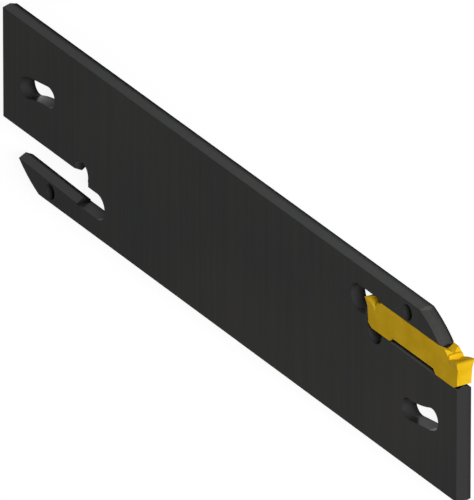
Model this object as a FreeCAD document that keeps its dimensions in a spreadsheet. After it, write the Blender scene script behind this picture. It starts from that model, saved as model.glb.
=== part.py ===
# Double-ended parting blade with one fitted cutting insert, in millimetres.
#
# The blade lies on its flat side. X runs along it towards the end that holds the insert,
# Y runs across its height towards that end's spring jaw, and Z is up through its thickness.
# The origin is the centre of the blade's underside face.
# The other end of the blade is the same turned half round about Z, with its pocket empty.

import FreeCAD, Part
import math
import os
import re

import Sketcher

# Each size, its value in millimetres or degrees, and what it measures.
SIZES = {
    "blade_length": (150.0, "overall length of the blade"),
    "blade_height": (32.0, "height over the two roofed long edges"),
    "blade_thickness": (2.9, "thickness of the blade"),
    "edge_angle": (15.0, "fall of each long edge's two flanks, degrees"),
    "jaw_height": (5.09, "upper long edge down to the crest of the jaw's rib"),
    "seat_length": (28.75, "blade's end to the wall that stops the insert"),
    "rib_angle": (27.5, "fall of the flanks of the seat and of the jaw's rib, degrees"),
    "seat_clearance": (0.01, "gap left between the insert and what it seats on"),
    "relief_radius": (2.3, "round relief in the corner of seat and stop"),
    "relief_drop": (0.72, "seat's crest down to the relief's centre"),
    "slot_rise": (0.98, "seat's crest up to the floor of the spring slot"),
    "slot_width": (4.95, "width of the spring slot and of its round end"),
    "slot_reach": (31.8, "blade's end to the centre of the slot's round end"),
    "rib_reach": (24.8, "blade's end to the start of the jaw's rib"),
    "tip_setback": (5.2, "blade's end back to the blunt tip of the jaw"),
    "jaw_close": (0.31, "how far an empty jaw's tip closes"),
    "jaw_angle": (1.5, "how far an empty jaw's rib leans towards the seat, degrees"),
    "nose_setback": (11.93, "blade's end back to the corner where the jaw's nose starts"),
    "nose_angle": (22.0, "fall of the nose at that corner, degrees"),
    "nose_radius": (23.0, "radius of the rounded nose"),
    "key_hole_inset": (15.9, "blade's end to the round key hole"),
    "key_hole_diameter": (2.9, "diameter of the round key hole"),
    "key_slot_inset": (8.0, "blade's end to the outer centre of the oval key slot"),
    "key_slot_height": (12.8, "lower long edge up to that centre"),
    "key_slot_spread": (7.47, "distance between the oval key slot's two centres"),
    "key_slot_tilt": (7.7, "fall of the oval key slot towards the blade's middle, degrees"),
    "key_slot_radius": (2.35, "end radius of the oval key slot"),
    "insert_length": (29.84, "insert from cutting edge to cutting edge"),
    "stop_gap": (0.1, "gap between the insert's inner end and the stop's upper corner"),
    "side_inset": (0.02, "how far the insert's body lies inside the blade's sides"),
    "groove_height": (4.72, "between the crests of the insert's two long grooves"),
    "rail_land": (0.3, "flat on each side edge beside the long grooves"),
    "recess_length": (13.3, "flat length of the recess under the insert"),
    "recess_slope": (0.8, "run of each sloped end of that recess"),
    "recess_depth": (0.86, "depth of that recess"),
    "front_relief": (5.5, "clearance angle under each cutting edge, degrees"),
    "toe_run": (1.1, "length of the chamfer of the insert's lower front edges"),
    "toe_rise": (0.65, "height of that chamfer"),
    "lip_height": (0.25, "height of the lip that each cutting edge stands out on"),
    "lip_overhang": (0.19, "how far that lip stands out"),
    "edge_drop": (0.575, "upper side edges down to the cutting edge"),
    "rail_length": (20.8, "length of the upper rails along the insert"),
    "land_length": (0.6, "narrow land behind the cutting edge"),
    "land_drop": (0.05, "fall of that land away from the edge"),
    "valley_inset": (2.95, "cutting edge back to the bottom of the chip former"),
    "valley_drop": (0.65, "cutting edge down to the bottom of the chip former"),
    "dish_width": (1.9, "width of the trough down the middle of the chip former"),
    "dish_depth": (0.2, "depth of that trough"),
    "cutting_width": (3.65, "width of each cutting edge"),
    "flare_length": (2.1, "length of the wide part behind each cutting edge"),
    "flare_taper": (0.1, "narrowing of each side along the wide part"),
    "flare_fade": (0.8, "length over which the wide part runs out"),
    "flare_height": (1.7, "height of the wide part below the cutting edge"),
}

# How far a cut runs past the faces that it opens.
OVERRUN = 1.0

HALF_TURN = 180.0

# A cut that takes less than this volume took nothing.
NO_VOLUME = 1e-4

# Places on the blade's fitted end, from the centre of the blade.
END_X = "blade_length / 2"
TOP_Y = "blade_height / 2"
STOP_X = "blade_length / 2 - seat_length"
SLOT_X = "blade_length / 2 - slot_reach"
RIB_X = "blade_length / 2 - rib_reach"
TIP_X = "blade_length / 2 - tip_setback"
CLAMP_Y = "(blade_height / 2 - jaw_height)"
MOUTH_Y = "(blade_height / 2 - jaw_height - groove_height / 2)"
SEAT_Y = "(blade_height / 2 - jaw_height - groove_height - 2 * seat_clearance)"


def bound(formula):
    """Returns the formula with every size in it read from the sheet."""
    def from_sheet(match):
        word = match.group()
        return "Sizes." + word if word in SIZES else word
    return re.sub(r"[a-z_]+", from_sheet, formula)


class Drawing:
    """The document, its sheet of sizes and the steps that sub-parts are made with."""

    def __init__(self):
        self.doc = FreeCAD.newDocument("parting_blade")
        self.sheet = self.doc.addObject("Spreadsheet::Sheet", "Sizes")
        for row, (name, (value, note)) in enumerate(SIZES.items(), start=1):
            self.sheet.set("A%d" % row, name)
            self.sheet.set("B%d" % row, str(value))
            self.sheet.set("C%d" % row, note)
            self.sheet.setAlias("B%d" % row, name)
        self.doc.recompute()

    def value(self, formula):
        return float(self.sheet.evalExpression(bound(formula)))

    def body(self, label):
        body = self.doc.addObject("PartDesign::Body", label)
        body.Label = label
        return body

    def sketch(self, body, name, plane):
        """Adds a sketch on one of the body's own origin planes."""
        sketch = body.newObject("Sketcher::SketchObject", name)
        support = [item for item in body.Origin.OriginFeatures if item.Role == plane][0]
        sketch.AttachmentSupport = [(support, "")]
        sketch.MapMode = "FlatFace"
        return sketch

    def fix(self, sketch, axis, edge, vertex, formula):
        """Ties one coordinate of a vertex to a formula."""
        constraint = Sketcher.Constraint("Distance" + axis, -1, 1, edge, vertex, self.value(formula))
        index = sketch.addConstraint(constraint)
        sketch.setExpression("Constraints[%d]" % index, bound(formula))

    def outline(self, sketch, steps):
        """Draws a closed outline. A step is where an edge ends: x and y, and for an arc its centre's x.

        Arcs turn anticlockwise, and the outline may go round either way.
        """
        ends = [FreeCAD.Vector(self.value(step[0]), self.value(step[1]), 0) for step in steps]
        edges = []
        for index, step in enumerate(steps):
            start = ends[index - 1]
            end = ends[index]
            if len(step) == 2:
                edge = sketch.addGeometry(Part.LineSegment(start, end))
            else:
                edge = sketch.addGeometry(arc_between(start, end, self.value(step[2])))
                self.fix(sketch, "X", edge, 3, step[2])
            edges.append(edge)
            self.fix(sketch, "X", edge, 2, step[0])
            self.fix(sketch, "Y", edge, 2, step[1])
        for index, edge in enumerate(edges):
            sketch.addConstraint(Sketcher.Constraint("Coincident", edges[index - 1], 2, edge, 1))

    def circle(self, sketch, centre_x, centre_y, radius):
        centre = FreeCAD.Vector(self.value(centre_x), self.value(centre_y), 0)
        edge = sketch.addGeometry(Part.Circle(centre, FreeCAD.Vector(0, 0, 1), self.value(radius)))
        self.fix(sketch, "X", edge, 3, centre_x)
        self.fix(sketch, "Y", edge, 3, centre_y)
        index = sketch.addConstraint(Sketcher.Constraint("Radius", edge, self.value(radius)))
        sketch.setExpression("Constraints[%d]" % index, bound(radius))

    def pad(self, body, name, sketch, length, symmetric=False, reverse=False):
        pad = body.newObject("PartDesign::Pad", name)
        pad.Profile = sketch
        pad.SideType = "Symmetric" if symmetric else "One side"
        pad.Reversed = reverse
        pad.setExpression("Length", bound(length))
        self.doc.recompute()
        return pad

    def cut(self, body, name, sketch, length=None, symmetric=False, reverse=False):
        """Cuts the sketch out, right through or to a length, and checks that material went."""
        before = body.Shape.Volume
        pocket = body.newObject("PartDesign::Pocket", name)
        pocket.Profile = sketch
        pocket.SideType = "Symmetric" if symmetric else "One side"
        pocket.Reversed = reverse
        if length is None:
            pocket.Type = "ThroughAll"
        else:
            pocket.setExpression("Length", bound(length))
        self.doc.recompute()
        if body.Shape.Volume > before - NO_VOLUME:
            raise RuntimeError("%s cuts nothing" % name)
        return pocket

    def check(self, bodies):
        """Stops if any object failed or any sub-part isn't one sound solid."""
        self.doc.recompute()
        for item in self.doc.Objects:
            if "Invalid" in item.State or "Error" in item.State:
                raise RuntimeError("%s failed: %s" % (item.Label, item.State))
            if item.TypeId == "Sketcher::SketchObject" and item.solve() != 0:
                raise RuntimeError("%s can't be solved" % item.Label)
        for body in bodies:
            shape = body.Shape
            if shape.isNull() or not shape.isValid() or len(shape.Solids) != 1:
                raise RuntimeError("%s isn't one sound solid" % body.Label)


def arc_between(start, end, centre_x):
    """Returns the anticlockwise arc between two points about a centre of known x."""
    middle = (start + end) * 0.5
    chord = end - start
    centre_y = middle.y + (middle.x - centre_x) * chord.x / chord.y
    centre = FreeCAD.Vector(centre_x, centre_y, 0)
    first = math.atan2(start.y - centre.y, start.x - centre.x)
    last = math.atan2(end.y - centre.y, end.x - centre.x)
    circle = Part.Circle(centre, FreeCAD.Vector(0, 0, 1), (start - centre).Length)
    return Part.ArcOfCircle(circle, first, last)


def turned(formula):
    """Returns the formula for the same place on the blade's other end."""
    return "-(" + formula + ")"


def blade_plate(drawing, body):
    """The bar and the noses of both jaws, a little longer than the blade at both ends.

    Its outline lies at mid thickness and both halves narrow away from it, so that the long edges
    and the noses are low roofs.
    """
    past_x = "blade_length / 2 + %g" % OVERRUN
    nose_x = "blade_length / 2 - nose_setback"
    centre_x = nose_x + " - nose_radius * sin(nose_angle)"
    centre_y = "blade_height / 2 - nose_radius * cos(nose_angle)"
    last_x = "(%s + %g)" % (TIP_X, OVERRUN)
    last_y = "%s + sqrt(nose_radius^2 - (%s - (%s))^2)" % (centre_y, last_x, centre_x)
    one_end = [
        (past_x, turned(TOP_Y)),
        (past_x, last_y),
        (last_x, last_y),
        (nose_x, TOP_Y, centre_x),
    ]
    other_end = [tuple(turned(formula) for formula in step) for step in one_end]
    sketch = drawing.sketch(body, "PlateOutline", "XY_Plane")
    sketch.setExpression("AttachmentOffset.Base.z", bound("blade_thickness / 2"))
    drawing.outline(sketch, one_end + other_end)
    plate = drawing.pad(body, "Plate", sketch, "blade_thickness / 2")
    plate.SideType = "Two sides"
    plate.setExpression("Length2", bound("blade_thickness / 2"))
    plate.setExpression("TaperAngle", bound("-edge_angle"))
    plate.setExpression("TaperAngle2", bound("-edge_angle"))
    drawing.doc.recompute()


def blade_end(drawing, body, end, turn, clamp_y, lean):
    """Squares one end of the blade, and cuts the insert's pocket, spring slot and key holes into it."""
    def flat_sketch(name):
        sketch = drawing.sketch(body, end + name, "XY_Plane")
        sketch.AttachmentOffset = FreeCAD.Placement(
            FreeCAD.Vector(0, 0, 0), FreeCAD.Rotation(FreeCAD.Vector(0, 0, 1), turn))
        return sketch

    def clamp_at(x):
        return "%s + (%s - (%s)) * tan(%s)" % (clamp_y, TIP_X, x, lean)

    clear_x = "blade_length / 2 + 2 * %g" % OVERRUN
    above_y = "blade_height / 2 + %g" % OVERRUN
    trim = flat_sketch("TrimOutline")
    drawing.outline(trim, [
        (END_X, turned(above_y)),
        (END_X, MOUTH_Y),
        (TIP_X, MOUTH_Y),
        (TIP_X, above_y),
        (clear_x, above_y),
        (clear_x, turned(above_y)),
    ])
    drawing.cut(body, end + "Trim", trim, reverse=True)

    out_x = "blade_length / 2 + %g" % OVERRUN
    floor_y = SEAT_Y + " + slot_rise"
    pocket = flat_sketch("PocketOutline")
    drawing.outline(pocket, [
        (out_x, clamp_at(out_x)),
        (RIB_X, clamp_at(RIB_X)),
        (RIB_X, floor_y + " + slot_width"),
        (SLOT_X, floor_y + " + slot_width"),
        (SLOT_X, floor_y, SLOT_X),
        (STOP_X, floor_y),
        (STOP_X, SEAT_Y),
        (out_x, SEAT_Y),
    ])
    drawing.cut(body, end + "Pocket", pocket, reverse=True)

    relief = flat_sketch("ReliefOutline")
    drawing.circle(relief, STOP_X + " + relief_radius", SEAT_Y + " - relief_drop", "relief_radius")
    drawing.cut(body, end + "Relief", relief, reverse=True)

    key_hole = flat_sketch("KeyHoleOutline")
    drawing.circle(
        key_hole, "blade_length / 2 - key_hole_inset", "(%s + %s) / 2" % (CLAMP_Y, TOP_Y),
        "key_hole_diameter / 2")
    drawing.cut(body, end + "KeyHole", key_hole, reverse=True)

    key_slot_cut(drawing, body, end, flat_sketch("KeySlotOutline"))
    rib_flanks(drawing, body, end + "Seat", turn, "0", SEAT_Y, 1,
               STOP_X + " + relief_radius", "seat_length - relief_radius + %g" % OVERRUN)
    before_x = "%s - %g" % (RIB_X, OVERRUN)
    rib_flanks(drawing, body, end + "Jaw", turn, lean, clamp_at(before_x), -1,
               before_x, "(rib_reach - tip_setback) / cos(%s) + 2 * %g" % (lean, OVERRUN))


def key_slot_cut(drawing, body, end, sketch):
    """Cuts the oval slot that takes the key's fixed pin."""
    outer_x = "blade_length / 2 - key_slot_inset"
    outer_y = "key_slot_height - blade_height / 2"
    inner_x = outer_x + " - key_slot_spread * cos(key_slot_tilt)"
    inner_y = outer_y + " - key_slot_spread * sin(key_slot_tilt)"
    side_x = "key_slot_radius * sin(key_slot_tilt)"
    side_y = "key_slot_radius * cos(key_slot_tilt)"
    drawing.outline(sketch, [
        (outer_x + " - " + side_x, outer_y + " + " + side_y, outer_x),
        (inner_x + " - " + side_x, inner_y + " + " + side_y),
        (inner_x + " + " + side_x, inner_y + " - " + side_y, inner_x),
        (outer_x + " + " + side_x, outer_y + " - " + side_y),
    ])
    drawing.cut(body, end + "KeySlot", sketch, reverse=True)


def rib_flanks(drawing, body, name, turn, lean, crest_y, side, start_x, length):
    """Cuts the two flanks of a rib whose crest is at mid thickness, from start_x outwards.

    The side is +1 where the open space is above the crest and -1 where it is below.
    """
    sketch = drawing.sketch(body, name + "FlankOutline", "YZ_Plane")
    sketch.AttachmentOffset = FreeCAD.Placement(
        FreeCAD.Vector(0, 0, 0), FreeCAD.Rotation(FreeCAD.Vector(0, 1, 0), turn))
    sign = "-" if turn else ""
    sketch.setExpression("AttachmentOffset.Base.x", bound(sign + "(" + crest_y + ")"))
    sketch.setExpression("AttachmentOffset.Base.z", bound(sign + "(" + start_x + ")"))
    if lean != "0":
        sketch.setExpression("AttachmentOffset.Rotation.Angle", bound("%g - %s" % (turn, lean)))
    fall = "%d * (blade_thickness / 2 + %g) * tan(rib_angle)" % (-side, OVERRUN)
    void = "%g" % (side * OVERRUN)
    under = "%g" % -OVERRUN
    over = "blade_thickness + %g" % OVERRUN
    drawing.outline(sketch, [
        ("0", "blade_thickness / 2"),
        (fall, over),
        (void, over),
        (void, under),
        (fall, under),
    ])
    drawing.cut(body, name + "Flanks", sketch, length=length, reverse=True)


def make_blade(drawing):
    """The blade: one bar with roofed long edges and a spring jaw at each end."""
    body = drawing.body("blade_body")
    blade_plate(drawing, body)
    blade_end(drawing, body, "Fitted", 0.0, CLAMP_Y, "0")
    blade_end(drawing, body, "Empty", HALF_TURN, "(%s - jaw_close)" % CLAMP_Y, "jaw_angle")
    return body


# Places on the insert, from its middle along it and from the crest of its lower groove up it.
FRONT_X = "insert_length / 2"
VALLEY_X = "(insert_length / 2 - valley_inset)"
BODY_HALF = "(blade_thickness / 2 - side_inset)"
RAIL_RISE = "(blade_thickness / 2 - side_inset - rail_land) * tan(rib_angle)"
LOW_Y = "(-" + RAIL_RISE + ")"
HIGH_Y = "(groove_height + " + RAIL_RISE + ")"
CUT_Y = "(groove_height + " + RAIL_RISE + " - edge_drop)"


def insert_block(drawing, body):
    """The insert's body: its side outline with the recess underneath."""
    right = [
        ("recess_length / 2", "(%s + recess_depth)" % LOW_Y),
        ("recess_length / 2 + recess_slope", LOW_Y),
        (FRONT_X, LOW_Y),
        (FRONT_X, HIGH_Y),
    ]
    left = [(turned(x), y) for x, y in reversed(right)]
    sketch = drawing.sketch(body, "BlockOutline", "XY_Plane")
    drawing.outline(sketch, right + left)
    drawing.pad(body, "Block", sketch, "2 * " + BODY_HALF, symmetric=True)


def insert_flare(drawing, body):
    """The wide part behind the cutting edge, which narrows downwards and backwards."""
    section = drawing.sketch(body, "FlareSection", "YZ_Plane")
    section.setExpression("AttachmentOffset.Base.z", bound(FRONT_X))
    foot_y = CUT_Y + " - flare_height"
    drawing.outline(section, [
        (foot_y, turned(BODY_HALF)),
        (CUT_Y, "-cutting_width / 2"),
        (CUT_Y, "cutting_width / 2"),
        (foot_y, BODY_HALF),
    ])
    drawing.pad(body, "Flare", section, "flare_length + flare_fade", reverse=True)
    for name, side in (("Under", -1), ("Upper", 1)):
        flare_side(drawing, body, name, side)


def flare_side(drawing, body, name, side):
    """Tapers one side of the wide part, seen from above the cutting edge."""
    plan = drawing.sketch(body, "Plan" + name, "XZ_Plane")
    back_x = FRONT_X + " - flare_length - flare_fade"
    clear_x = back_x + " - %g" % OVERRUN
    clear_z = "%d * (cutting_width / 2 + %g)" % (side, OVERRUN)
    body_z = "%d * %s" % (side, BODY_HALF)
    drawing.outline(plan, [
        (FRONT_X, "%d * cutting_width / 2" % side),
        (FRONT_X + " - flare_length", "%d * (cutting_width / 2 - flare_taper)" % side),
        (back_x, body_z),
        (clear_x, body_z),
        (clear_x, clear_z),
        (FRONT_X, clear_z),
    ])
    drawing.cut(body, "Plan" + name + "Cut", plan, symmetric=True)


def relief_x(rise):
    """Returns how far along the insert its leaning end face is, at a height above the lower groove."""
    return FRONT_X + " - lip_overhang - (%s - lip_height - (%s)) * tan(front_relief)" % (CUT_Y, rise)


def insert_front(drawing, body):
    """The lip, clearance face and toe under the cutting edge, and the chip former behind it."""
    past_x = FRONT_X + " + %g" % OVERRUN
    toe_y = LOW_Y + " + toe_rise"
    toe_x = relief_x(toe_y) + " - toe_run"
    under_y = LOW_Y + " - %g" % OVERRUN
    front = drawing.sketch(body, "FrontOutline", "XY_Plane")
    drawing.outline(front, [
        (FRONT_X, CUT_Y),
        (FRONT_X + " - lip_overhang", CUT_Y + " - lip_height"),
        (relief_x(toe_y), toe_y),
        (toe_x, LOW_Y),
        (toe_x, under_y),
        (past_x, under_y),
        (past_x, CUT_Y),
    ])
    drawing.cut(body, "FrontRelief", front, length="2 * cutting_width", symmetric=True)

    over_y = HIGH_Y + " + %g" % OVERRUN
    chip = drawing.sketch(body, "ChipFormerOutline", "XY_Plane")
    drawing.outline(chip, [
        ("rail_length / 2", over_y),
        ("rail_length / 2", HIGH_Y),
        (VALLEY_X, CUT_Y + " - valley_drop"),
        (FRONT_X + " - land_length", CUT_Y + " - land_drop"),
        (FRONT_X, CUT_Y),
        (past_x, CUT_Y),
        (past_x, over_y),
    ])
    drawing.cut(body, "ChipFormer", chip, length="2 * cutting_width", symmetric=True)


def rake_dish(drawing, body):
    """The shallow trough down the middle of the chip former, which curls the chip."""
    fall = "atan((valley_drop - land_drop) / (valley_inset - land_length))"
    dish = drawing.sketch(body, "DishSection", "YZ_Plane")
    dish.AttachmentOffset = FreeCAD.Placement(
        FreeCAD.Vector(0, 0, 0), FreeCAD.Rotation(FreeCAD.Vector(0, 1, 0), drawing.value(fall)))
    dish.setExpression("AttachmentOffset.Rotation.Angle", bound(fall))
    dish.setExpression("AttachmentOffset.Base.x", bound(CUT_Y + " - land_drop"))
    dish.setExpression("AttachmentOffset.Base.z", bound(FRONT_X + " - land_length"))
    open_half = "(dish_width / 2 * (1 + %g / dish_depth))" % OVERRUN
    drawing.outline(dish, [
        ("-dish_depth", "0"),
        ("%g" % OVERRUN, open_half),
        ("%g" % OVERRUN, turned(open_half)),
    ])
    drawing.cut(body, "Dish", dish, length="valley_inset - land_length")


def both_heads(drawing, body, head):
    """Repeats the head's steps at the insert's other end."""
    mirror = body.newObject("PartDesign::Mirrored", "OtherHead")
    mirror.Originals = head
    plane = [item for item in body.Origin.OriginFeatures if item.Role == "YZ_Plane"][0]
    mirror.MirrorPlane = (plane, [""])
    body.Tip = mirror
    drawing.doc.recompute()


def insert_grooves(drawing, body):
    """The long V grooves that ride on the seat's crest and on the rib of the jaw."""
    wide = "(%s + %g)" % (BODY_HALF, OVERRUN)
    grooves = (
        ("Lower", "0", -1, "insert_length"),
        ("Upper", "groove_height", 1, "2 * " + VALLEY_X),
    )
    for name, crest_y, side, length in grooves:
        rim_y = "%s + %d * %s * tan(rib_angle)" % (crest_y, side, wide)
        sketch = drawing.sketch(body, name + "GrooveSection", "YZ_Plane")
        drawing.outline(sketch, [
            (crest_y, "0"),
            (rim_y, wide),
            (rim_y, turned(wide)),
        ])
        drawing.cut(body, name + "Groove", sketch, length=length, symmetric=True)


def make_insert(drawing):
    """The cutting insert: grooved rails above and below, and a wide cutting head at each end.

    Its inner end face leans over the stop, so the stop wall's upper corner is what it comes up to.
    """
    body = drawing.body("cutting_insert")
    insert_block(drawing, body)
    insert_flare(drawing, body)
    insert_front(drawing, body)
    rake_dish(drawing, body)
    head_steps = ("Flare", "PlanUnderCut", "PlanUpperCut", "FrontRelief", "ChipFormer", "Dish")
    both_heads(drawing, body, [drawing.doc.getObject(name) for name in head_steps])
    insert_grooves(drawing, body)
    corner_rise = "slot_rise - seat_clearance"
    body.setExpression("Placement.Base.x", bound(STOP_X + " + stop_gap + " + relief_x(corner_rise)))
    body.setExpression("Placement.Base.y", bound(SEAT_Y + " + seat_clearance"))
    body.setExpression("Placement.Base.z", bound("blade_thickness / 2"))
    return body


drawing = Drawing()
bodies = [make_blade(drawing), make_insert(drawing)]
drawing.check(bodies)
os.makedirs("parts", exist_ok=True)
for body in bodies:
    body.Shape.exportStep("parts/%s.step" % body.Label)
    print(body.Label, "volume %.1f mm3" % body.Shape.Volume, body.Shape.BoundBox)
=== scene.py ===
# Dresses the parting blade: blackened ground steel, a gold-coated insert, plain studio light and the
# camera. A collar narrows each key slot to its curved outline, and a rounded bar lies across each of the
# insert's heads, in its chip former.
#
# Blender's units here are metres, in the blade's own frame: X along the blade towards its fitted end,
# Y across its height and Z up through its thickness.

import math

import bmesh
import bpy
from mathutils import Matrix, Vector


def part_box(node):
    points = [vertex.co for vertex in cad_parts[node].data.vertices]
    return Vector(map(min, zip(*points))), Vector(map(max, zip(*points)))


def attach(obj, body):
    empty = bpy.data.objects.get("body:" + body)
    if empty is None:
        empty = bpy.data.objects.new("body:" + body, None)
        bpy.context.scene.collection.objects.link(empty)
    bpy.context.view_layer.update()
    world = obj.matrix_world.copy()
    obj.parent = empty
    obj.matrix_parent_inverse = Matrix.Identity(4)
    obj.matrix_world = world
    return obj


MM = 0.001

# The camera looks down on the blade's flat side from beyond its fitted end, with a very long lens. The
# lens and the sensor's width are in millimetres.
CAMERA_AZIMUTH = math.radians(120.0)
CAMERA_ELEVATION = math.radians(27.68)
CAMERA_ROLL = math.radians(-105.0)
CAMERA_LENS = 1600.0
CAMERA_SENSOR = 36.0
CAMERA_DISTANCE = 3.807
CAMERA_AIM = Vector((1.12, 0.36, 1.45)) * MM

# Each lamp: the direction it shines from, its distance, its size, and its level, which is how bright
# a white face turned straight at it renders. The key shines on the fitted end, the fill on the other.
LAMPS = {
    "key": (Vector((0.885, 0.375, 0.275)), 1.2, 0.5, 1.0),
    "fill": (Vector((-0.85, -0.50, 0.12)), 1.2, 0.8, 0.35),
}
WORLD_LEVEL = 0.07
WORLD_COLOUR = (0.97, 0.99, 1.0, 1.0)
WHITE = (1.0, 1.0, 1.0, 1.0)

# The floor lights the object as a pale matt surface. Seen directly it glows, and it reflects only a share
# of the light there, which is enough to keep the object's shadow.
FLOOR_SIZE = 3.0
FLOOR_ALBEDO = 0.8
FLOOR_GLOW = 0.90
FLOOR_SHARE = 0.3

# Spans that a share may run over, upwards or downwards.
RISING = (0.0, 1.0)
FALLING = (1.0, 0.0)

# How many rays look for edges, for rounded corners and for shelter at each point.
EDGE_SAMPLES = 6
ROUNDING_SAMPLES = 4
SHELTER_SAMPLES = 8

# Each pattern is a noise: its waves to a metre along X, Y and Z, its detail and its roughness. The
# streaks of the grinding run across the blade's height.
STEEL_STREAKS = ((900.0, 22.0, 900.0), 5.0, 0.62)
STEEL_CLOUDS = ((26.0, 34.0, 26.0), 2.0, 0.55)
STEEL_GRAIN = ((7000.0, 5200.0, 7000.0), 2.0, 0.55)
GOLD_CLOUDS = ((260.0, 300.0, 260.0), 3.0, 0.55)
GOLD_GRAIN = ((9000.0, 9000.0, 9000.0), 3.0, 0.55)
UNSTRETCHED = (1.0, 1.0, 1.0)

# The steel's flat sides run from a dark to a light tone, with streaks and clouds. What is ground is lighter,
# partly as a ground finish and partly as a painted sheen, cut walls are darker, and edges are darker still.
STEEL_DARK = (0.051, 0.053, 0.053, 1.0)
STEEL_LIGHT = (0.069, 0.067, 0.063, 1.0)
STEEL_GROUND_AND_SHEEN = (0.088, 0.089, 0.089, 1.0)
STEEL_WALL = (0.035, 0.035, 0.035, 1.0)
STEEL_EDGE = (0.012, 0.012, 0.012, 1.0)
STEEL_METAL = 0.03
STREAKS_IN_TONE = 0.55
CLOUDS_IN_TONE = 0.45
TONE_SPAN = (0.36, 0.64)

# The roughness follows the streaks, and the fine relief has streaks and grain in it.
STREAK_SPAN = (0.3, 0.7)
STEEL_ROUGHNESS = (0.40, 0.56)
STREAKS_IN_RELIEF = 0.7
GRAIN_IN_RELIEF = 0.3
STEEL_RELIEF = 0.004 * MM

# A cut wall keeps this share of the roughness, and has this much gloss outside the painted shade of holes
# and gaps.
WALL_SMOOTHING = 0.5
WALL_GLOSS = 0.05

# Where edges turn dark: how near an edge, and from how small to how large a turn of the rounded normal.
STEEL_EDGE_REACH = 0.11 * MM
STEEL_EDGE_TURN = (0.02, 0.16)

# The radius that edges seem to have. A collar has almost none, so that no line shows around it.
STEEL_ROUNDING = 0.05 * MM
COLLAR_ROUNDING = 0.002 * MM

# Painted shade: holes and gaps, and the recess under the insert, are painted black where their sides stand
# close:
# how far apart their sides may be, and how open a place is where it is black and where it is as light as the
# rest.
STEEL_PAINTED_SHADE = (0.007, 0.007, 0.008, 1.0)
SHELTER_REACH = 2.5 * MM
SHELTER_SPAN = (0.48, 0.64)

# How far a face's normal rises out of the blade's plane: 0 on a cut wall, 0.26 on the roofed long edges,
# 0.46 on the flanks of the seat and of the jaw's rib, and 1 on a flat side.
WALL_RISE = (0.10, 0.20)
RIB_RISE_FROM = (0.36, 0.42)
RIB_RISE_TO = (0.50, 0.60)

# How far from the blade's middle line, either way, its flat sides end and the roofed edges' flanks begin.
FLANK_SPAN = (15.56 * MM, 15.61 * MM)

# The coating's tone drifts between two colours, and a painted highlight brightens its edges. Its grain sets
# its roughness.
GOLD_DEEP = (0.71, 0.428, 0.007, 1.0)
GOLD_BRIGHT = (0.81, 0.498, 0.015, 1.0)
GOLD_PAINTED_HIGHLIGHT = (0.88, 0.61, 0.06, 1.0)
GOLD_METAL = 0.05
GOLD_CLOUD_SPAN = (0.35, 0.65)
GOLD_EDGE_REACH = 0.10 * MM
GOLD_EDGE_TURN = (0.03, 0.30)
GOLD_GRAIN_SPAN = (0.3, 0.7)
GOLD_ROUGHNESS = (0.36, 0.46)
GOLD_RELIEF = 0.003 * MM
GOLD_ROUNDING = 0.06 * MM

# The straight oval key slot on the fitted end, as the blade has it. The centre of its outer round end lies
# in from the blade's end and up from its lower edge. Along the slot, distances run from that centre
# towards the blade's middle, and the spread is the distance between its two end centres.
KEY_SLOT_INSET = 8.0 * MM
KEY_SLOT_HEIGHT = 12.8 * MM
KEY_SLOT_TILT = math.radians(7.7)
KEY_SLOT_RADIUS = 2.35 * MM
KEY_SLOT_SPREAD = 7.47 * MM

# The curved slot inside it: bent round a centre on the jaw's side, with round ends as wide as the slot.
# The middle of the bend and the end centres are given along the slot, and the side towards the jaw by its
# radius and by how far it lies from the oval's middle line.
BEND_MIDDLE = 4.68 * MM
BEND_RADIUS = 20.6 * MM
BEND_SIDE = 1.385 * MM
CURVED_HALF_WIDTH = 2.0 * MM
CURVED_OUTER_END = -0.09 * MM
CURVED_INNER_END = 7.65 * MM
SIDE_STEPS = 12
END_STEPS = 14

# The collar laps over the oval's rim by this width, and stands out of the flat sides by this height.
COLLAR_LAP = 0.2 * MM
COLLAR_LID = 0.005 * MM

# The rounded bar across each head, in the chip former's slope: its middle line lies back from the cutting
# edge and down from the insert's highest edge, and it stops short of the blade's flat sides. A fullness
# of 0 would make its ends square, and one of 1 would make it an ellipsoid.
FORMER_BAR_INSET = 3.38 * MM
FORMER_BAR_DROP = 0.95 * MM
FORMER_BAR_RADIUS = 0.50 * MM
FORMER_BAR_SETBACK = 0.04 * MM
BAR_END_FULLNESS = 0.35
BAR_STEPS = 24
BAR_SIDES = 32


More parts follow.
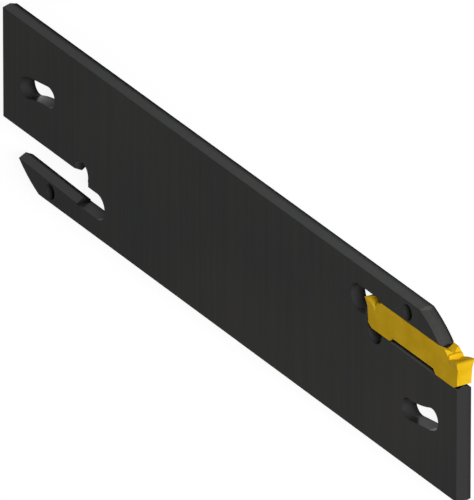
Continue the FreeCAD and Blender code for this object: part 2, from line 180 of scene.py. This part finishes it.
class Shader:
    """A material's node tree, with short calls for the nodes that the finishes share."""

    def __init__(self, name):
        self.material = bpy.data.materials.new(name)
        self.material.use_nodes = True
        self.tree = self.material.node_tree
        self.tree.nodes.clear()
        self.output = self.node("ShaderNodeOutputMaterial")

    def node(self, kind, **settings):
        made = self.tree.nodes.new(kind)
        for name, value in settings.items():
            setattr(made, name, value)
        return made

    def link(self, source, target):
        self.tree.links.new(source, target)

    def feed(self, value, socket):
        """Sets the socket to a plain number or colour, or links it to what another node puts out."""
        if isinstance(value, (float, tuple)):
            socket.default_value = value
        else:
            self.link(value, socket)

    def place(self, stretch):
        """The point in the blade's frame, with each axis multiplied by its own number."""
        coordinates = self.node("ShaderNodeTexCoord")
        mapping = self.node("ShaderNodeMapping")
        mapping.inputs["Scale"].default_value = stretch
        self.link(coordinates.outputs["Object"], mapping.inputs["Vector"])
        return mapping.outputs["Vector"]

    def noise(self, stretch, detail, roughness):
        made = self.node("ShaderNodeTexNoise")
        made.inputs["Scale"].default_value = 1.0
        made.inputs["Detail"].default_value = detail
        made.inputs["Roughness"].default_value = roughness
        self.link(self.place(stretch), made.inputs["Vector"])
        return made.outputs["Fac"]

    def spread(self, value, span, new_span=RISING):
        """Maps one span of numbers to another and clamps."""
        made = self.node("ShaderNodeMapRange")
        for socket, number in zip(("From Min", "From Max", "To Min", "To Max"), span + new_span):
            made.inputs[socket].default_value = number
        self.link(value, made.inputs["Value"])
        return made.outputs["Result"]

    def blend(self, share, first, second):
        """Mixes two colours, each a socket or a plain colour."""
        made = self.node("ShaderNodeMix", data_type="RGBA")
        self.link(share, made.inputs["Factor"])
        for name, colour in (("A", first), ("B", second)):
            socket = [item for item in made.inputs if item.name == name and item.type == "RGBA"][0]
            self.feed(colour, socket)
        return [item for item in made.outputs if item.type == "RGBA"][0]

    def maths(self, operation, *values):
        made = self.node("ShaderNodeMath", operation=operation)
        for socket, value in zip(made.inputs, values):
            self.feed(value, socket)
        return made.outputs["Value"]

    def weigh(self, first, first_weight, second, second_weight):
        """The sum of two values, each times its own weight."""
        first_part = self.maths("MULTIPLY", first, first_weight)
        second_part = self.maths("MULTIPLY", second, second_weight)
        return self.maths("ADD", first_part, second_part)

    def edges(self, radius, turns):
        """1 on an edge's last bit and 0 on the faces, from how far a rounded normal turns there."""
        rounded = self.node("ShaderNodeBevel", samples=EDGE_SAMPLES)
        rounded.inputs["Radius"].default_value = radius
        geometry = self.node("ShaderNodeNewGeometry")
        agreement = self.node("ShaderNodeVectorMath", operation="DOT_PRODUCT")
        self.link(rounded.outputs["Normal"], agreement.inputs[0])
        self.link(geometry.outputs["Normal"], agreement.inputs[1])
        return self.spread(self.maths("SUBTRACT", 1.0, agreement.outputs["Value"]), turns)

    def beyond(self, axis, span):
        """1 further out along the axis than the span, either way, and 0 nearer the middle than it."""
        parts = self.node("ShaderNodeSeparateXYZ")
        self.link(self.place(UNSTRETCHED), parts.inputs["Vector"])
        return self.spread(self.maths("ABSOLUTE", parts.outputs[axis]), span)

    def openness(self, reach):
        """1 in the open, and less where other faces stand closer than the reach."""
        made = self.node("ShaderNodeAmbientOcclusion", samples=SHELTER_SAMPLES)
        made.inputs["Distance"].default_value = reach
        return made.outputs["AO"]

    def rise(self):
        """How far a face's normal rises out of the blade's plane, on either side."""
        coordinates = self.node("ShaderNodeTexCoord")
        parts = self.node("ShaderNodeSeparateXYZ")
        self.link(coordinates.outputs["Normal"], parts.inputs["Vector"])
        return self.maths("ABSOLUTE", parts.outputs["Z"])

    def bump(self, height, depth, radius):
        """Fine relief over edges that are rounded to a radius."""
        rounded = self.node("ShaderNodeBevel", samples=ROUNDING_SAMPLES)
        rounded.inputs["Radius"].default_value = radius
        made = self.node("ShaderNodeBump")
        made.inputs["Distance"].default_value = depth
        self.link(height, made.inputs["Height"])
        self.link(rounded.outputs["Normal"], made.inputs["Normal"])
        return made.outputs["Normal"]

    def finish(self, **parts):
        """Joins the parts into one surface. What is the same all over is set on the shader's own sockets."""
        surface = self.node("ShaderNodeBsdfPrincipled")
        for name, value in parts.items():
            self.feed(value, surface.inputs[name.replace("_", " ")])
        self.link(surface.outputs["BSDF"], self.output.inputs["Surface"])
        return self.material


def blackened_steel(name, dark_edges):
    """Tool steel under a thin black finish: ground clamping edges and ribs are lighter, partly as a painted
    sheen, cut walls are darker, and holes and gaps hold painted shade.
    """
    shader = Shader(name)
    streaks = shader.noise(*STEEL_STREAKS)
    clouds = shader.noise(*STEEL_CLOUDS)
    grain = shader.noise(*STEEL_GRAIN)
    tone = shader.weigh(streaks, STREAKS_IN_TONE, clouds, CLOUDS_IN_TONE)
    colour = shader.blend(shader.spread(tone, TONE_SPAN), STEEL_DARK, STEEL_LIGHT)

    rise = shader.rise()
    walls = shader.spread(rise, WALL_RISE, FALLING)
    colour = shader.blend(walls, colour, STEEL_WALL)

    # Painted sheen, along with a lighter ground finish: the roofed clamping edges and the rib flanks are
    # lighter.
    above = shader.spread(rise, RIB_RISE_FROM)
    below = shader.spread(rise, RIB_RISE_TO, FALLING)
    ribs = shader.maths("MULTIPLY", above, below)
    flanks = shader.maths("MAXIMUM", shader.beyond("Y", FLANK_SPAN), ribs)
    colour = shader.blend(flanks, colour, STEEL_GROUND_AND_SHEEN)

    # Painted shade: where other faces stand near, in holes, gaps and under the insert, the steel turns black
    # and loses its gloss.
    unshaded = shader.spread(shader.openness(SHELTER_REACH), SHELTER_SPAN)
    colour = shader.blend(unshaded, STEEL_PAINTED_SHADE, colour)
    if dark_edges:
        colour = shader.blend(shader.edges(STEEL_EDGE_REACH, STEEL_EDGE_TURN), colour, STEEL_EDGE)

    kept = shader.spread(walls, RISING, (1.0, WALL_SMOOTHING))
    roughness = shader.maths("MULTIPLY", shader.spread(streaks, STREAK_SPAN, STEEL_ROUGHNESS), kept)
    gloss = shader.maths("MULTIPLY", shader.maths("MULTIPLY", walls, unshaded), WALL_GLOSS)
    height = shader.weigh(streaks, STREAKS_IN_RELIEF, grain, GRAIN_IN_RELIEF)
    normal = shader.bump(height, STEEL_RELIEF, STEEL_ROUNDING if dark_edges else COLLAR_ROUNDING)
    return shader.finish(Base_Color=colour, Roughness=roughness, Normal=normal, Metallic=STEEL_METAL,
                         Specular_IOR_Level=gloss)


def gold_coating():
    """A hard coating over sintered carbide: fine grain, soft drifts of tone and a painted highlight along
    the edges.
    """
    shader = Shader("gold_coating")
    clouds = shader.noise(*GOLD_CLOUDS)
    grain = shader.noise(*GOLD_GRAIN)
    body = shader.blend(shader.spread(clouds, GOLD_CLOUD_SPAN), GOLD_DEEP, GOLD_BRIGHT)
    # Painted highlight: the coating is brighter along its edges.
    colour = shader.blend(shader.edges(GOLD_EDGE_REACH, GOLD_EDGE_TURN), body, GOLD_PAINTED_HIGHLIGHT)
    roughness = shader.spread(grain, GOLD_GRAIN_SPAN, GOLD_ROUGHNESS)
    normal = shader.bump(grain, GOLD_RELIEF, GOLD_ROUNDING)
    return shader.finish(Base_Color=colour, Roughness=roughness, Normal=normal, Metallic=GOLD_METAL,
                         Specular_IOR_Level=0.0)


def seen_directly(tree):
    """1 for rays from the camera, and for those that gloss or glass sends on."""
    path = tree.nodes.new("ShaderNodeLightPath")
    total = path.outputs["Is Camera Ray"]
    for name in ("Is Glossy Ray", "Is Transmission Ray"):
        larger = tree.nodes.new("ShaderNodeMath")
        larger.operation = "MAXIMUM"
        tree.links.new(total, larger.inputs[0])
        tree.links.new(path.outputs[name], larger.inputs[1])
        total = larger.outputs["Value"]
    return total


def floor_finish():
    """Matt pale floor. Seen directly it is white, and keeps the object's shadow."""
    shader = Shader("floor_white")
    plain = shader.node("ShaderNodeBsdfDiffuse")
    plain.inputs["Color"].default_value = (FLOOR_ALBEDO, FLOOR_ALBEDO, FLOOR_ALBEDO, 1.0)
    shaded = shader.node("ShaderNodeBsdfDiffuse")
    shaded.inputs["Color"].default_value = (FLOOR_SHARE, FLOOR_SHARE, FLOOR_SHARE, 1.0)
    glow = shader.node("ShaderNodeEmission")
    glow.inputs["Strength"].default_value = FLOOR_GLOW
    seen = shader.node("ShaderNodeAddShader")
    shader.link(shaded.outputs["BSDF"], seen.inputs[0])
    shader.link(glow.outputs["Emission"], seen.inputs[1])
    either = shader.node("ShaderNodeMixShader")
    shader.link(seen_directly(shader.tree), either.inputs["Fac"])
    shader.link(plain.outputs["BSDF"], either.inputs[1])
    shader.link(seen.outputs["Shader"], either.inputs[2])
    shader.link(either.outputs["Shader"], shader.output.inputs["Surface"])
    return shader.material


def add_object(name, data):
    """Puts a mesh, a lamp or a camera into the scene."""
    made = bpy.data.objects.new(name, data)
    bpy.context.scene.collection.objects.link(made)
    return made


def lay_floor():
    """The floor touches the insert's lower corners and the blade's other end, so it leans by a hair."""
    insert_low, insert_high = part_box("cutting_insert")
    blade_low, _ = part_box("blade_body")
    slope = (insert_low[2] - blade_low[2]) / (insert_high[0] - blade_low[0])
    half = FLOOR_SIZE / 2
    corners = []
    for x, y in ((-half, -half), (half, -half), (half, half), (-half, half)):
        corners.append((x, y, blade_low[2] + (x - blade_low[0]) * slope))
    mesh = bpy.data.meshes.new("floor")
    mesh.from_pydata(corners, [], [(0, 1, 2, 3)])
    mesh.materials.append(floor_finish())
    floor = add_object("floor", mesh)


def hang_world():
    """An even fill, which shows as plain white behind the floor and in gloss."""
    world = bpy.data.worlds.new("studio")
    world.use_nodes = True
    tree = world.node_tree
    tree.nodes.clear()
    output = tree.nodes.new("ShaderNodeOutputWorld")
    fill = tree.nodes.new("ShaderNodeBackground")
    fill.inputs["Color"].default_value = WORLD_COLOUR
    fill.inputs["Strength"].default_value = WORLD_LEVEL
    white = tree.nodes.new("ShaderNodeBackground")
    white.inputs["Color"].default_value = WHITE
    white.inputs["Strength"].default_value = 1.0
    either = tree.nodes.new("ShaderNodeMixShader")
    tree.links.new(seen_directly(tree), either.inputs["Fac"])
    tree.links.new(fill.outputs["Background"], either.inputs[1])
    tree.links.new(white.outputs["Background"], either.inputs[2])
    tree.links.new(either.outputs["Shader"], output.inputs["Surface"])
    bpy.context.scene.world = world


def hang_lamps():
    """Each lamp looks at the origin, with the power that gives a white face there the lamp's level."""
    for name, (direction, distance, size, level) in LAMPS.items():
        data = bpy.data.lights.new(name, "AREA")
        data.shape = "DISK"
        data.size = size
        data.energy = level * (math.pi * distance) ** 2
        back = direction.normalized()
        turn = (-back).to_track_quat("-Z", "Y").to_matrix().to_4x4()
        lamp = add_object(name, data)
        lamp.matrix_world = Matrix.Translation(back * distance) @ turn


def place_camera():
    """The camera at its azimuth and elevation, rolled so that the blade's height is up in the picture."""
    level = math.cos(CAMERA_ELEVATION)
    back = Vector((
        math.sin(CAMERA_AZIMUTH) * level,
        -math.cos(CAMERA_AZIMUTH) * level,
        math.sin(CAMERA_ELEVATION),
    ))
    level_right = Vector((0.0, 0.0, 1.0)).cross(back).normalized()
    level_up = back.cross(level_right)
    right = math.cos(CAMERA_ROLL) * level_right + math.sin(CAMERA_ROLL) * level_up
    up = math.cos(CAMERA_ROLL) * level_up - math.sin(CAMERA_ROLL) * level_right
    data = bpy.data.cameras.new("camera")
    data.lens = CAMERA_LENS
    data.sensor_width = CAMERA_SENSOR
    camera = add_object("camera", data)
    turn = Matrix((right, up, back)).transposed().to_4x4()
    camera.matrix_world = Matrix.Translation(CAMERA_AIM + back * CAMERA_DISTANCE) @ turn
    bpy.context.scene.camera = camera


def join_rings(shape, rings, following_rings, smooth):
    """Spans faces from each ring of corners to the ring that follows it."""
    for ring, following in zip(rings, following_rings):
        for corner in range(len(ring)):
            beside = (corner + 1) % len(ring)
            face = shape.faces.new((ring[corner], ring[beside], following[beside], following[corner]))
            face.smooth = smooth


def add_piece(name, shape, material):
    """Turns a closed shape into a piece in the scene, with its faces outwards and its finish on."""
    bmesh.ops.recalc_face_normals(shape, faces=shape.faces)
    mesh = bpy.data.meshes.new(name)
    shape.to_mesh(mesh)
    shape.free()
    mesh.materials.append(material)
    return add_object(name, mesh)


def spoke(angle):
    """The direction from the bend's centre to a point of the slot, square to the oval's length at 0."""
    return Vector((math.sin(angle), -math.cos(angle)))


def curved_slot():
    """The curved slot's outline, as points along the oval's middle line and from it towards the jaw."""
    bend = Vector((BEND_MIDDLE, BEND_SIDE + BEND_RADIUS))
    middle_radius = BEND_RADIUS + CURVED_HALF_WIDTH
    far_radius = BEND_RADIUS + 2 * CURVED_HALF_WIDTH
    outer_angle = math.asin((CURVED_OUTER_END - BEND_MIDDLE) / middle_radius)
    inner_angle = math.asin((CURVED_INNER_END - BEND_MIDDLE) / middle_radius)
    sides = ((BEND_RADIUS, outer_angle, inner_angle), (far_radius, inner_angle, outer_angle))
    outline = []
    for radius, start, stop in sides:
        # One side of the slot, and then the round end that it runs into.
        for step in range(SIDE_STEPS):
            angle = start + (stop - start) * step / SIDE_STEPS
            outline.append(bend + radius * spoke(angle))
        end = bend + middle_radius * spoke(stop)
        facing = (bend + radius * spoke(stop) - end).normalized()
        onwards = Vector((math.cos(stop), math.sin(stop))) * math.copysign(1.0, stop - start)
        for step in range(END_STEPS):
            turn = math.pi * step / END_STEPS
            outline.append(end + CURVED_HALF_WIDTH * (math.cos(turn) * facing + math.sin(turn) * onwards))
    return outline


def collar_key_slot(name, side, material):
    """Narrows one end's oval key slot to the curved one. The side is 1 on the fitted end, else -1."""
    low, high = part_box("blade_body")
    outer = Vector((high[0] - KEY_SLOT_INSET, low[1] + KEY_SLOT_HEIGHT))
    inwards = Vector((-math.cos(KEY_SLOT_TILT), -math.sin(KEY_SLOT_TILT)))
    outwards = Vector((-math.sin(KEY_SLOT_TILT), math.cos(KEY_SLOT_TILT)))
    # Where the curved outline runs past the oval's rim, the collar's inner side stops within its lap.
    furthest = KEY_SLOT_RADIUS + COLLAR_LAP / 2
    shape = bmesh.new()
    rings = []
    for point in curved_slot():
        nearest = Vector((min(max(point.x, 0.0), KEY_SLOT_SPREAD), 0.0))
        away = point - nearest
        corners = []
        for distance in (min(away.length, furthest), KEY_SLOT_RADIUS + COLLAR_LAP):
            flat = nearest + away.normalized() * distance
            place = side * (outer + inwards * flat.x + outwards * flat.y)
            for height in (low[2] - COLLAR_LID, high[2] + COLLAR_LID):
                corners.append(shape.verts.new((place.x, place.y, height)))
        inner_low, inner_high, outer_low, outer_high = corners
        rings.append((inner_low, inner_high, outer_high, outer_low))
    join_rings(shape, rings, rings[1:] + rings[:1], smooth=False)
    piece = add_piece(name, shape, material)
    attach(piece, "root")


def lay_former_bar(name, side, material):
    """Lays the chip former's rounded bar across one head. The side is 1 on the outer head, else -1."""
    insert_low, insert_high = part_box("cutting_insert")
    blade_low, blade_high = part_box("blade_body")
    middle = (insert_low[0] + insert_high[0]) / 2
    reach = (insert_high[0] - insert_low[0]) / 2 - FORMER_BAR_INSET
    half = (blade_high[2] - blade_low[2]) / 2 - FORMER_BAR_SETBACK
    centre = Vector((
        middle + side * reach,
        insert_high[1] - FORMER_BAR_DROP,
        (blade_low[2] + blade_high[2]) / 2,
    ))
    shape = bmesh.new()
    rings = []
    for step in range(1, BAR_STEPS):
        turn = math.pi * step / BAR_STEPS
        along = -math.cos(turn)
        radius = FORMER_BAR_RADIUS * math.sin(turn) ** BAR_END_FULLNESS
        ring = []
        for corner in range(BAR_SIDES):
            angle = 2 * math.pi * corner / BAR_SIDES
            offset = Vector((radius * math.cos(angle), radius * math.sin(angle), half * along))
            ring.append(shape.verts.new(centre + offset))
        rings.append(ring)
    join_rings(shape, rings, rings[1:], smooth=True)
    for cap in (rings[0], rings[-1]):
        shape.faces.new(cap)
    piece = add_piece(name, shape, material)
    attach(piece, "root")


def dress(node, material):
    """Gives a carried-over piece its finish, in the slot that it already has."""
    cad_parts[node].material_slots[0].material = material


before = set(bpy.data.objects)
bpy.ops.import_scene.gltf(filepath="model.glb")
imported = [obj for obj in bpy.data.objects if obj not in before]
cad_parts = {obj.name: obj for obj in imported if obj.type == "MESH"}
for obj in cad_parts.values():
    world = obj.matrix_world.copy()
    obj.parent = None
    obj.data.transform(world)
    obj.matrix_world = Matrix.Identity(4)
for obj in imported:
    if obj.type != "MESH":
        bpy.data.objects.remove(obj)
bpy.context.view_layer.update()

dress("blade_body", blackened_steel("blackened_steel", dark_edges=True))
gold = gold_coating()
dress("cutting_insert", gold)
lay_former_bar("chip_former_outer", 1, gold)
lay_former_bar("chip_former_inner", -1, gold)
collar_steel = blackened_steel("blackened_steel_collar", dark_edges=False)
collar_key_slot("key_slot_fitted", 1, collar_steel)
collar_key_slot("key_slot_empty", -1, collar_steel)
lay_floor()
hang_world()
hang_lamps()
place_camera()
bpy.context.scene.view_settings.view_transform = "Standard"
